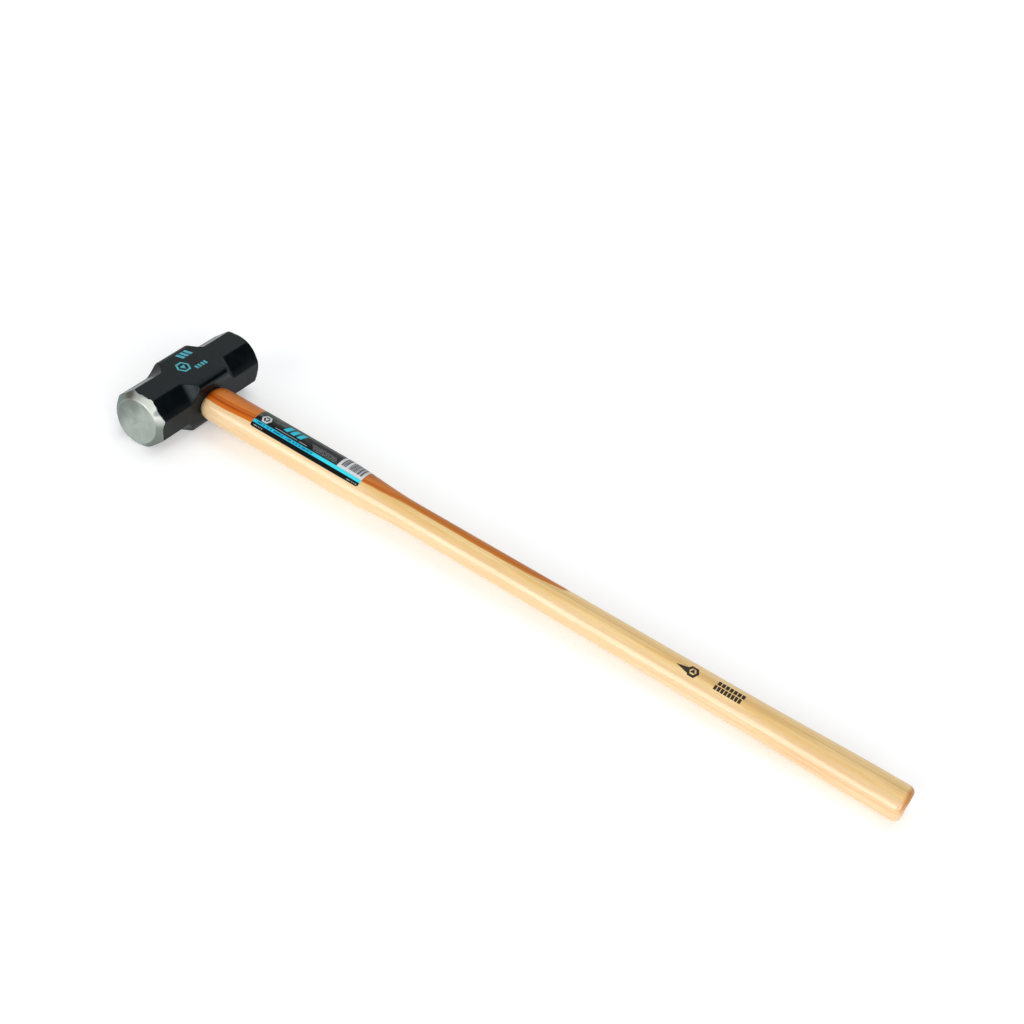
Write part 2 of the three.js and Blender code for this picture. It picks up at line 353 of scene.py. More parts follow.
# ---- Handle ------------------------------------------------------------------------------------
HANDLE_COLUMNS = 120


def oval_ring(x, half_width, flatness, turns):
    return np.stack([np.full_like(turns, x), half_width * np.cos(turns),
                     half_width * flatness * np.sin(turns)], -1)


def make_handle():
    turns = np.linspace(0, 2 * math.pi, HANDLE_COLUMNS, endpoint=False)
    quarter = np.linspace(0, math.pi / 2, 9)
    xs = spans(TONGUE_END + TONGUE_EDGE_ROUND, (HALF_FLATS, 24), (NECK_START, 1))
    xs = np.concatenate([xs, (NECK_START + SHOULDER_ROUND * (1 - np.cos(quarter)))[1:]])
    xs = np.concatenate([xs, spans(xs[-1], (OVAL_CHANGE_END, 6), (SHOULDER_END, 36), (WAIST_AT, 24),
                                   (SWELL_START, 80), (SWELL_END, 30), (BUTT_END - BUTT_EDGE, 8))[1:]])
    rings = []
    tongue_half = float(handle_half_width(TONGUE_END))
    for share in (0.25, 0.5, 0.75, 0.93):
        half = tongue_half - TONGUE_EDGE_ROUND
        rings.append(oval_ring(TONGUE_END, half * share, EYE_FLATNESS, turns))
    for turn in np.linspace(0, math.pi / 2, 5)[:-1]:
        x = TONGUE_END + TONGUE_EDGE_ROUND * (1 - math.cos(turn))
        half = tongue_half - TONGUE_EDGE_ROUND * (1 - math.sin(turn))
        rings.append(oval_ring(x, half, EYE_FLATNESS, turns))
    for x in xs:
        rings.append(oval_ring(x, float(handle_half_width(x)), float(handle_flatness(x)), turns))
    edge_half = float(handle_half_width(BUTT_END - BUTT_EDGE))
    for turn in quarter[1:]:
        x = BUTT_END - BUTT_EDGE * (1 - math.sin(turn))
        half = edge_half - BUTT_EDGE * (1 - math.cos(turn))
        rings.append(oval_ring(x, half, SHAFT_FLATNESS, turns))
    for share in (0.93, 0.7, 0.45, 0.2):
        rings.append(oval_ring(BUTT_END, (edge_half - BUTT_EDGE) * share, SHAFT_FLATNESS, turns))
    handle = new_object("hickory_handle", *skin(np.array(rings), (TONGUE_END, 0, 0), (BUTT_END, 0, 0)))
    subtract(handle, timber_wedge_body("kerf_cutter", WEDGE_GAP))
    for side in (-1, 1):
        subtract(handle, steel_wedge_body("slot_cutter", side, WEDGE_GAP))
    finish_shading(handle, 35)
    return handle


# ---- Wedges ------------------------------------------------------------------------------------
def wedge_thickness(size, x):
    """Half the thickness at a station, with the taper carried on past the wedge's thick end."""
    return lerp(size["half_thick"], size["half_tip"], (x - TONGUE_END) / size["length"])


def rounded_slab(x, half_y, half_z, corner):
    """A ring at x: a rectangle with rounded corners, from its middle out by half_y and half_z."""
    ring = []
    for quadrant, (y_side, z_side) in enumerate(((1, 1), (-1, 1), (-1, -1), (1, -1))):
        for turn in np.linspace(0, math.pi / 2, 5) + quadrant * math.pi / 2:
            ring.append((x, y_side * (half_y - corner) + corner * math.cos(turn),
                         z_side * (half_z - corner) + corner * math.sin(turn)))
    return np.array(ring)


def timber_wedge_body(name, grow):
    """The timber wedge, or with grow the space for it: that one reaches past the tongue's end."""
    cutter = grow > 0
    start = TONGUE_END - (CUTTER_REACH if cutter else 0)
    end = TONGUE_END + TIMBER_WEDGE["length"] + grow
    stations = spans(start, (start + 0.4, 2), (end, 24))
    trims = (() if cutter else TIMBER_WEDGE_TRIMS) + (0,) * len(stations)
    rings = []
    for x, trim in zip(stations, trims):
        half_z = float(wedge_thickness(TIMBER_WEDGE, x)) + grow
        if cutter:
            half_y, corner = 2 * EYE_WEDGE_MOUTH, CUTTER_CORNER
        else:
            half_y = float(handle_half_width(max(x, TONGUE_END))) - TIMBER_WEDGE_INSET
            corner = min(1.2, half_z * 0.45)
        rings.append(rounded_slab(x, half_y - trim, half_z - trim * 0.6, corner))
    return new_object(name, *skin(np.array(rings), (start, 0, 0), (end, 0, 0)))


def steel_wedge_body(name, side, grow):
    """One steel wedge, or with grow the slot for it."""
    cutter = grow > 0
    start = TONGUE_END - (CUTTER_REACH if cutter else 0)
    end = TONGUE_END + STEEL_WEDGE["length"] + grow
    stations = spans(start, (start + 0.6, 3), (end, 16))
    trims = (() if cutter else STEEL_WEDGE_TRIMS) + (0,) * len(stations)
    middle = side * STEEL_WEDGE_OFFSET
    half_z = STEEL_WEDGE_HALF_WIDTH + grow
    rings = []
    for x, trim in zip(stations, trims):
        half_y = float(wedge_thickness(STEEL_WEDGE, x)) + grow
        corner = CUTTER_CORNER if cutter else min(0.35, half_y * 0.6)
        ring = rounded_slab(x, half_y - trim, half_z - trim, corner)
        ring[:, 1] += middle
        rings.append(ring)
    return new_object(name, *skin(np.array(rings), (start, middle, 0), (end, middle, 0)))


def make_timber_wedge():
    wedge = timber_wedge_body("beech_wedge", 0)
    for side in (-1, 1):
        subtract(wedge, steel_wedge_body("slot_cutter", side, WEDGE_GAP))
    finish_shading(wedge, 35)
    return wedge


# ---- Label -------------------------------------------------------------------------------------
def make_label():
    """A thin film over part of the shoulder, with rounded corners."""
    columns, rows = 64, 72
    # the rows lie closer together towards the label's long edges
    shares = np.linspace(0, 1, rows + 1)
    eased = shares - 0.12 * np.sin(2 * math.pi * shares) / (2 * math.pi)
    turns = lerp(LABEL_FROM, LABEL_TO, eased)
    mean_radius = SHOULDER * (1 + SHAFT_FLATNESS) / 2
    from_edge = np.minimum(turns - LABEL_FROM, LABEL_TO - turns) * mean_radius
    depth = np.clip(LABEL_CORNER - from_edge, 0, LABEL_CORNER)
    inset = LABEL_CORNER - np.sqrt(LABEL_CORNER ** 2 - depth ** 2)
    layers = []
    for lift in (LABEL_LIFT, LABEL_LIFT + LABEL_THICK):
        for turn, trim in zip(turns, inset):
            xs = np.linspace(LABEL_START + trim, LABEL_END - trim, columns + 1)
            half = handle_half_width(xs) + lift
            layers.append(np.stack([xs, half * math.cos(turn), half * SHAFT_FLATNESS * math.sin(turn)], -1))
    points = np.array(layers).reshape(-1, 3)
    wide = columns + 1
    top = (rows + 1) * wide
    faces = []
    for i in range(rows):
        for j in range(columns):
            a, b = i * wide + j, (i + 1) * wide + j
            faces.append((a, a + 1, b + 1, b))
            faces.append((a + top, b + top, b + top + 1, a + top + 1))
        for j in (0, columns):
            a, b = i * wide + j, (i + 1) * wide + j
            faces.append((a, b, b + top, a + top))
    for j in range(columns):
        for i in (0, rows):
            a = i * wide + j
            faces.append((a, a + top, a + top + 1, a + 1))
    label = new_object("printed_label", points, faces)
    finish_shading(label, 40)
    return label


# ---- Shader making -----------------------------------------------------------------------------
class Signal:
    """A socket of a shader tree, with arithmetic that adds the nodes for it."""

    def __init__(self, tree, socket):
        self.tree = tree
        self.socket = socket

    def math(self, operation, *others):
        node = self.tree.nodes.new("ShaderNodeMath")
        node.operation = operation
        for pin, value in zip(node.inputs, (self,) + others):
            put(self.tree, pin, value)
        return Signal(self.tree, node.outputs[0])

    def __add__(self, other):
        return self.math("ADD", other)

    def __sub__(self, other):
        return self.math("SUBTRACT", other)

    def __rsub__(self, other):
        return self.math("MULTIPLY_ADD", -1, other)

    def __mul__(self, other):
        return self.math("MULTIPLY", other)

    def __truediv__(self, other):
        return self.math("DIVIDE", other)

    def __abs__(self):
        return self.math("ABSOLUTE")

    def squared(self):
        return self.math("MULTIPLY", self)

    def root(self):
        return self.math("SQRT")

    def fraction(self):
        return self.math("FRACT")

    def larger(self, other):
        return self.math("MAXIMUM", other)

    def rise(self, low, high, to_low=0.0, to_high=1.0):
        """A smooth step from to_low at low to to_high at high."""
        node = self.tree.nodes.new("ShaderNodeMapRange")
        node.interpolation_type = "SMOOTHSTEP"
        for pin, value in zip(node.inputs, (self, low, high, to_low, to_high)):
            put(self.tree, pin, value)
        return Signal(self.tree, node.outputs[0])

    def band(self, low, high, soft):
        """1 between low and high, falling to 0 over the soft width at either side."""
        return self.rise(low - soft, low) * self.rise(high, high + soft, 1.0, 0.0)

    def ramp(self, *stops):
        """A colour for each value: stops are (value from 0 to 1, colour)."""
        node = self.tree.nodes.new("ShaderNodeValToRGB")
        elements = node.color_ramp.elements
        while len(elements) < len(stops):
            elements.new(0.5)
        for element, (at, colour) in zip(elements, stops):
            element.position = at
            element.color = (*colour, 1)
        put(self.tree, node.inputs[0], self)
        return Signal(self.tree, node.outputs[0])


def put(tree, pin, value):
    """Links a signal to a shader's input, or sets a number or a colour on it."""
    if isinstance(value, Signal):
        tree.links.new(value.socket, pin)
    elif isinstance(value, (tuple, list)) and len(pin.default_value) == 4:
        pin.default_value = (*value, 1)
    else:
        pin.default_value = value


class Finish:
    """A material with a principled shader, and short calls for the nodes that feed it."""

    def __init__(self, name):
        self.material = bpy.data.materials.new(name)
        self.material.use_nodes = True
        self.tree = self.material.node_tree
        self.shader = next(n for n in self.tree.nodes if n.type == "BSDF_PRINCIPLED")
        place = self.tree.nodes.new("ShaderNodeTexCoord")
        scaled = self.tree.nodes.new("ShaderNodeVectorMath")
        scaled.operation = "SCALE"
        scaled.inputs["Scale"].default_value = 1 / MM
        self.tree.links.new(place.outputs["Object"], scaled.inputs[0])
        self.place = Signal(self.tree, scaled.outputs[0])
        split = self.tree.nodes.new("ShaderNodeSeparateXYZ")
        self.tree.links.new(scaled.outputs[0], split.inputs[0])
        self.x, self.y, self.z = (Signal(self.tree, out) for out in split.outputs)

    def set(self, **values):
        """Values for the principled shader's inputs, by name, with _ for a space."""
        for name, value in values.items():
            put(self.tree, self.shader.inputs[name.replace("_", " ")], value)

    def vector(self, x, y, z):
        node = self.tree.nodes.new("ShaderNodeCombineXYZ")
        for pin, value in zip(node.inputs, (x, y, z)):
            put(self.tree, pin, value)
        return Signal(self.tree, node.outputs[0])

    def noise(self, at, scale=1.0, detail=2.0, roughness=0.5, distortion=0.0):
        node = self.tree.nodes.new("ShaderNodeTexNoise")
        for name, value in (("Vector", at), ("Scale", scale), ("Detail", detail),
                            ("Roughness", roughness), ("Distortion", distortion)):
            put(self.tree, node.inputs[name], value)
        return Signal(self.tree, node.outputs[0])

    def stretched(self, along, across, shift=0.0, **settings):
        """Noise drawn out along the handle: its size in millimetres along and across."""
        at = self.vector(self.x / along + shift, self.y / across, self.z / across)
        return self.noise(at, **settings)

    def mix(self, share, a, b):
        """Colour a where share is 0, and colour b where it is 1."""
        node = self.tree.nodes.new("ShaderNodeMix")
        node.data_type = "RGBA"
        put(self.tree, node.inputs[0], share)
        put(self.tree, node.inputs[6], a)
        put(self.tree, node.inputs[7], b)
        return Signal(self.tree, node.outputs[2])

    def bump(self, height, depth):
        """Bumps of a height given in units of depth, which is in millimetres."""
        node = self.tree.nodes.new("ShaderNodeBump")
        node.inputs["Distance"].default_value = depth * MM
        put(self.tree, node.inputs["Height"], height)
        self.tree.links.new(node.outputs[0], self.shader.inputs["Normal"])

    def wrap_angle(self):
        """Degrees round the handle's oval, from +Y towards +Z."""
        return (self.z / SHAFT_FLATNESS).math("ARCTAN2", self.y) * math.degrees(1)


SIN_60 = math.sqrt(3) / 2
SIN_45 = math.sqrt(0.5)
# The length of one degree round the handle, in millimetres, under the label and near the butt.
SHOULDER_DEGREE = 0.36
GRIP_DEGREE = 0.30


def emblem(u, v, size, inner):
    """A plain mark: a hexagonal ring with a solid triangle in it. u and v are from its middle.

    size is from there to the ring's flats, and inner is the share of it that the ring leaves."""
    flats = (abs(u) * SIN_60 + abs(v) * 0.5).larger(abs(v))
    ring = flats.band(size * inner, size, size * 0.04)
    sides = (abs(u) * SIN_60 + v * 0.5).larger(v * -1)
    triangle = sides.rise(size * 0.24, size * 0.3, 1.0, 0.0)
    return ring.larger(triangle)


def slanted_bars(u, v, length, height, count, lean):
    """Slanted bars side by side, from 0 to length along u and from 0 to height along v."""
    along = (u - v * lean) / length
    comb = (along * count).fraction().band(0.12, 0.74, 0.05)
    return comb * along.band(0.0, 1.0, 0.01) * v.band(0.0, height, height * 0.05)


def blocks(u, v, length, height, count):
    """A row of equal blocks that stands for a bold word."""
    comb = (u / length * count).fraction().band(0.08, 0.8, 0.06)
    return comb * u.band(0.0, length, 0.1) * v.band(0.0, height, height * 0.06)


def text_bars(finish, u, v, length, height, word):
    """A line of small blocks that stands for print, from 0 to length along u, 0 to height along v."""
    beat = finish.noise(finish.vector(u / word, 7.3, 2.1), detail=1.0).rise(0.42, 0.46)
    return beat * u.band(0.0, length, 0.15) * v.band(0.0, height, height * 0.15)


# ---- Materials ---------------------------------------------------------------------------------
def painted_head_finish():
    """Satin black paint, with ground steel on the bevels and faces and a printed cheek."""
    f = Finish("painted_and_ground_steel")
    radius = (f.x.squared() + f.z.squared()).root()
    along = abs(f.y)
    # distance out from the bevel's cone, and from a plane just inside the face's rim
    cone = (along - FACE_RIM_AT + (radius - FACE_RADIUS) * BEVEL_SLOPE) / math.hypot(1, BEVEL_SLOPE)
    face = along - (FACE_RIM_AT - 2)
    # the paint ends near the bevel's outer edge, along a line that swings and is ragged
    ragged = f.noise(f.place, scale=0.55, detail=4.0) - 0.5
    swing = f.noise(f.vector(f.x * 0.13, f.y * 0.02, f.z * 0.13), detail=1.0) - 0.5
    inset = HALF_FLATS - abs(f.x).larger(abs(f.z)).larger((abs(f.x) + abs(f.z)) * SIN_45)
    bare = ((cone + inset * 0.9).larger(face) + ragged * 0.5 + swing * 5.0).rise(-0.3, -0.05)
    # paint
    mottle = f.noise(f.place, scale=0.045, detail=3.0)
    peel = f.noise(f.place, scale=0.6, detail=3.0, roughness=0.6)
    paint = f.mix(mottle.rise(0.35, 0.7), (0.0015, 0.0030, 0.0040), (0.0026, 0.0048, 0.0060))
    paint_rough = mottle.rise(0.3, 0.7, 0.25, 0.33) + (peel - 0.5) * 0.08
    paint_rough = paint_rough + (abs(f.z) - abs(f.x)).rise(-16.0, -6.0, 0.22, 0.0)
    # print on the upper cheek: bars, an emblem, and a row of blocks below them
    cheek = f.z.rise(HALF_FLATS - 0.4, HALF_FLATS - 0.2)
    bars_y, bars_x, bars_length, bars_height = -2.5, -22.5, 19.0, 8.6
    mark = slanted_bars(f.y - bars_y, f.x - bars_x, bars_length, bars_height, 3, 0.35)
    emblem_y, emblem_x, emblem_size = -10.5, -4.2, 7.6
    mark = mark.larger(emblem(f.y - emblem_y, f.x - emblem_x, emblem_size, 0.76))
    blocks_x, block_width, block_height = 3.0, 2.7, 5.2
    for block_y in (-0.6, 4.2, 9.2, 13.8):
        row = (f.x - blocks_x - f.y * 0.02).band(0.0, block_height, 0.2)
        mark = mark.larger((f.y - block_y).band(0.0, block_width, 0.2) * row)
    worn = f.noise(f.place, scale=1.6, detail=3.0).rise(0.3, 0.42)
    mark = mark * cheek * worn
    paint = f.mix(mark, paint, (0.075, 0.42, 0.50))
    # steel, with painted shade on the faces, darker towards their -X and +Z side
    cloud = f.noise(f.place, scale=0.07, detail=4.0, distortion=0.6)
    scratches = f.noise(f.vector(f.x * 2.2, f.y * 0.4, f.z * 0.12), detail=4.0, roughness=0.65)
    steel = f.mix(cloud.rise(0.3, 0.7), (0.36, 0.395, 0.36), (0.45, 0.48, 0.445))
    steel = f.mix(scratches.rise(0.35, 0.7, 0.0, 0.35), steel, (0.29, 0.315, 0.29))
    face_painted_shade = (f.x * 0.8 - f.z * 0.6 + (cloud - 0.5) * 26).rise(-24.0, 6.0, 1.0, 0.0)
    face_painted_shade = face_painted_shade * radius.rise(FACE_RADIUS - 1.5, FACE_RADIUS + 1.5, 1.0, 0.0)
    steel = f.mix(face_painted_shade * 0.85, steel, (0.16, 0.19, 0.165))
    # painted light and shade on the ground bevel: a painted highlight on top, and painted shade towards the
    # sides and the floor
    bevel_painted_floor_shade = cone.rise(-1.0, 0.4) * radius.rise(26.5, 28.0) * (f.z + ragged * 4).rise(-8.0, -1.0, 1.0, 0.0)
    steel = f.mix(bevel_painted_floor_shade * f.x.rise(4.0, 12.0) * 0.7, steel, (0.17, 0.17, 0.14))
    ground = radius.rise(FACE_RADIUS - 0.5, FACE_RADIUS + 1.0) * cone.rise(-1.2, -0.2)
    # painted shade: the bevel is darker low down on its +X side
    shade = ground * (f.z + ragged * 6).rise(4, 14, 1.0, 0.0) * f.x.rise(8, 18)
    steel = f.mix(shade * 0.9, steel, (0.20, 0.225, 0.195))
    # painted highlight: the top of the bevel is lighter
    steel = f.mix(ground * f.z.rise(8, 18) * 0.5, steel, (0.60, 0.61, 0.56))
    # painted shade: the bevel is darker on its -X side
    steel = f.mix(ground * f.x.rise(-18, -5, 0.92, 0.0), steel, (0.16, 0.19, 0.165))
    # a dark mark and a brown spot on either bevel
    dent_x, dent_z = 22.6, 21.5
    dent = ((f.x - dent_x).squared() + (f.z - dent_z).squared()).root().rise(1.5, 5.0, 1.0, 0.0)
    steel = f.mix(dent * 0.7, steel, (0.10, 0.13, 0.15))
    spot_x, spot_z = -15.5, 26.0
    spot = ((f.x - spot_x) * 0.8).squared() + ((f.z - spot_z) * 1.3).squared()
    spot = spot.root() + ragged * 8
    steel = f.mix(spot.rise(1.5, 10.0, 0.75, 0.0), steel, (0.11, 0.085, 0.06))
    steel_rough = cloud.rise(0.3, 0.7, 0.36, 0.5) + (scratches - 0.5) * 0.2
    f.set(Base_Color=f.mix(bare, paint, steel), Metallic=bare,
          Roughness=lerp(paint_rough, steel_rough, bare))
    f.set(Specular_IOR_Level=0.22, Specular_Tint=(0.82, 0.96, 1.0))
    f.bump(lerp(peel * 0.18, scratches * 0.3 - bare * 0.6, bare), 0.1)
    return f.material


# Where the middle of the tree was, above and behind the handle, and the width of its rings.
PITH_Y = 25.2
PITH_Z = 54.6
HICKORY_RING = 2.1

# How far the heartwood reaches from the middle of the tree: the place along X over 1000 mm, and
# the reach in millimetres.
HEART_EDGE = ((0.0, 56.5), (0.035, 57.7), (0.05, 58.2), (0.062, 57.9), (0.075, 57.0), (0.092, 55.8),
              (0.15, 53.5), (0.238, 51.3), (0.262, 50.0), (0.285, 48.5), (0.34, 48.2), (0.39, 48.7),
              (0.41, 48.2), (0.45, 46.7), (0.48, 44.5), (0.51, 42), (0.6, 38), (1.0, 36))

# Colours across the heartwood, from its border inwards: the distance over 20 mm, and the colour.
HEART_BANDS = (
    (0.00, (0.40, 0.085, 0.002)), (0.03, (0.60, 0.145, 0.002)), (0.20, (0.56, 0.120, 0.002)),
    (0.26, (0.34, 0.055, 0.001)), (0.32, (0.38, 0.066, 0.002)), (0.38, (0.55, 0.135, 0.006)),
    (0.45, (0.46, 0.096, 0.005)), (0.51, (0.62, 0.188, 0.026)), (0.74, (0.62, 0.188, 0.028)),
    (1.00, (0.48, 0.140, 0.020)))


def wood_figure(f, pith_y, pith_z, ring):
    """The dark line in each growth ring, from 0 to 1, of wood whose grain runs along X."""
    sway = f.stretched(170, 400, shift=3.7, detail=1.0) - 0.5
    drift = f.stretched(260, 400, shift=9.1, detail=1.0) - 0.5
    wave = f.stretched(45, 14, shift=1.3, detail=2.0) - 0.5
    dy = f.y - pith_y + sway * 9
    dz = f.z - pith_z + drift * 9
    distance = (dy.squared() + dz.squared()).root() + wave * 1.4
    line = (distance / ring).fraction()
    return line.rise(0.25, 0.86) * line.rise(0.9, 1.0, 1.0, 0.0)


def heart_depth(f):
    """Distance inwards from the heartwood's edge, which wavers slowly along the handle."""
    edge = (f.x / 1000).ramp(*((at, (reach / 100,) * 3) for at, reach in HEART_EDGE)) * 100
    waver = f.stretched(28, 60, shift=4.4, detail=2.0) - 0.5
    distance = ((f.y - PITH_Y).squared() + (f.z - PITH_Z).squared()).root() + waver * 1.6
    return edge - distance


def handle_print(f, angle):
    """Ink on the handle near its butt: an emblem with a pointed tail, and two rows of blocks."""
    emblem_x, emblem_angle, emblem_size = 642.5, 103, 6.0
    arc = (emblem_angle - angle) * GRIP_DEGREE
    tail_start, tail_end = 624.0, 638.0
    mark = emblem(f.x - emblem_x, arc, emblem_size, 0.58)
    tail = (abs(arc + 1.0) - (f.x - tail_start) * 0.24).rise(0.0, 0.2, 1.0, 0.0)
    mark = mark.larger(tail * f.x.band(tail_start, tail_end, 0.2))
    row_length, row_degrees = 31.5, 16.5
    for row_x, row_angle, count in ((669.5, 82.5, 7), (668.0, 103.5, 8)):
        mark = mark.larger(blocks(f.x - row_x, angle - row_angle, row_length, row_degrees, count))
    return mark * f.z.rise(6, 8) * f.noise(f.place, scale=2.2, detail=2.0).rise(0.2, 0.3)


def hickory_finish():
    """Varnished hickory: pale sapwood, a band of brown heartwood along the top, and dark print."""
    f = Finish("varnished_hickory")
    late = wood_figure(f, PITH_Y, PITH_Z, HICKORY_RING)
    fibre = f.stretched(38, 0.55, detail=3.0, roughness=0.6)
    pores = f.stretched(9, 0.32, shift=2.0, detail=1.0).rise(0.6, 0.72)
    angle = f.wrap_angle()
    # sapwood, darker on top, with painted light on the upper back, a painted highlight paling the front,
    # and pink streaks low on the handle's front
    cloud = f.stretched(110, 8.0, shift=5.0, detail=2.0)
    streak = f.stretched(380, 2.6, shift=8.8, detail=2.0)
    sap = f.mix(cloud.rise(0.36, 0.64), (0.75, 0.49, 0.18), (0.84, 0.62, 0.30))
    sap = f.mix(streak.rise(0.5, 0.72, 0.0, 0.5), sap, (0.70, 0.415, 0.16))
    sap = f.mix(late * 0.24, sap, (0.62, 0.36, 0.13))
    sap = f.mix(fibre.rise(0.42, 0.75, 0.0, 0.3), sap, (0.62, 0.38, 0.15))
    upper = angle.band(86, 104, 12)
    sap = f.mix(upper * streak.rise(0.35, 0.6, 0.1, 0.5), sap, (0.61, 0.385, 0.15))
    # painted light: the handle's upper back is lighter, where light falls on it
    sap = f.mix(angle.band(-20, 68, 28) * 0.9, sap, (0.97, 0.71, 0.36))
    # painted highlight: the handle's front is paler, where the varnish shines
    sap = f.mix((f.y * -1).rise(8.5, 15.0) * 0.5, sap, (0.76, 0.545, 0.35))
    pink = f.stretched(330, 1.5, shift=7.7, detail=2.0).rise(0.52, 0.62)
    low_side = (f.y * -1 - f.z * 0.7).rise(4, 15) * f.x.rise(480, 720)
    sap = f.mix(pink * low_side * 0.55, sap, (0.78, 0.37, 0.18))
    # heartwood
    depth = heart_depth(f)
    within = depth * f.x.rise(100, 240, 1.0, 2.4) + (streak - 0.5) * 2.5
    heart = (within / 20).ramp(*HEART_BANDS)
    heart = f.mix(fibre.rise(0.42, 0.75, 0.0, 0.3), heart, (0.42, 0.10, 0.008))
    heart = f.mix(f.x.rise(235, 290, 0.0, 0.6), heart, (0.60, 0.195, 0.012))
    # painted shade: the heartwood darkens next to the head
    heart = f.mix((f.x + fibre * 8).rise(34, 54, 0.35, 0.0), heart, (0.30, 0.055, 0.003))
    share = (depth + (fibre - 0.5) * 1.0).rise(-0.3, 0.3)
    wood = f.mix(share, sap, heart)
    wood = f.mix(pores * 0.22, wood, (0.34, 0.17, 0.05))
    wood = f.mix(handle_print(f, angle) * 0.985, wood, (0.009, 0.007, 0.006))
    # end grain is darker and dull, and the butt's rounded edge is darker orange on its upper half
    end = f.x.rise(BUTT_END - 1.0, BUTT_END - 0.2)
    end = end.larger(f.x.rise(TONGUE_END + 0.5, TONGUE_END + 0.9, 1.0, 0.0))
    rim = (f.x + (cloud - 0.5) * 6).rise(BUTT_END - BUTT_EDGE, BUTT_END - 2)
    wood = f.mix(rim * f.z.rise(0, 11, 0.0, 0.9), wood, (0.52, 0.20, 0.045))
    wood = f.mix(end * 0.85, wood, (0.52, 0.30, 0.13))
    f.set(Base_Color=wood, Roughness=fibre.rise(0.3, 0.7, 0.4, 0.5) + end * 0.15)
    # the varnish is thinner on top
    f.set(Coat_Weight=angle.band(45, 122, 12) * -0.8 + 1.0, Coat_Roughness=0.17, Coat_IOR=1.6)
    f.set(Specular_IOR_Level=0.1)
    sag = f.stretched(55, 14, shift=6.1, detail=1.0)
    f.bump(sag * 2.2 + fibre * 0.5 + late * 0.15 - pores * 0.4, 0.08)
    return f.material


def beech_finish():
    """The timber wedge: paler, unvarnished wood."""
    f = Finish("sawn_beech")
    pith_y, pith_z, ring = -30.0, 8.0, 1.3
    late = wood_figure(f, pith_y, pith_z, ring)
    fibre = f.stretched(14, 0.4, detail=3.0)
    flecks = f.stretched(2.2, 0.35, shift=6.0, detail=1.0).rise(0.62, 0.7)
    wood = f.mix(fibre.rise(0.3, 0.7), (0.50, 0.31, 0.15), (0.62, 0.42, 0.23))
    wood = f.mix(late * 0.4, wood, (0.38, 0.2, 0.09))
    wood = f.mix(flecks * 0.5, wood, (0.28, 0.14, 0.06))
    f.set(Base_Color=wood, Roughness=fibre.rise(0.3, 0.7, 0.6, 0.78))
    f.set(Specular_IOR_Level=0.35)
    f.bump(fibre, 0.12)
    return f.material


def wedge_steel_finish():
    """Bright mild steel with mill marks and a little brown oxide."""
    f = Finish("wedge_steel")
    drawn = f.stretched(6, 0.25, detail=3.0)
    oxide = f.noise(f.place, scale=0.5, detail=4.0).rise(0.5, 0.68)
    steel = f.mix(drawn.rise(0.3, 0.7), (0.42, 0.42, 0.41), (0.60, 0.60, 0.58))
    steel = f.mix(oxide * 0.45, steel, (0.20, 0.11, 0.06))
    f.set(Base_Color=steel, Metallic=1.0, Roughness=drawn.rise(0.3, 0.7, 0.32, 0.5) + oxide * 0.2)
    f.bump(drawn, 0.05)
    return f.material


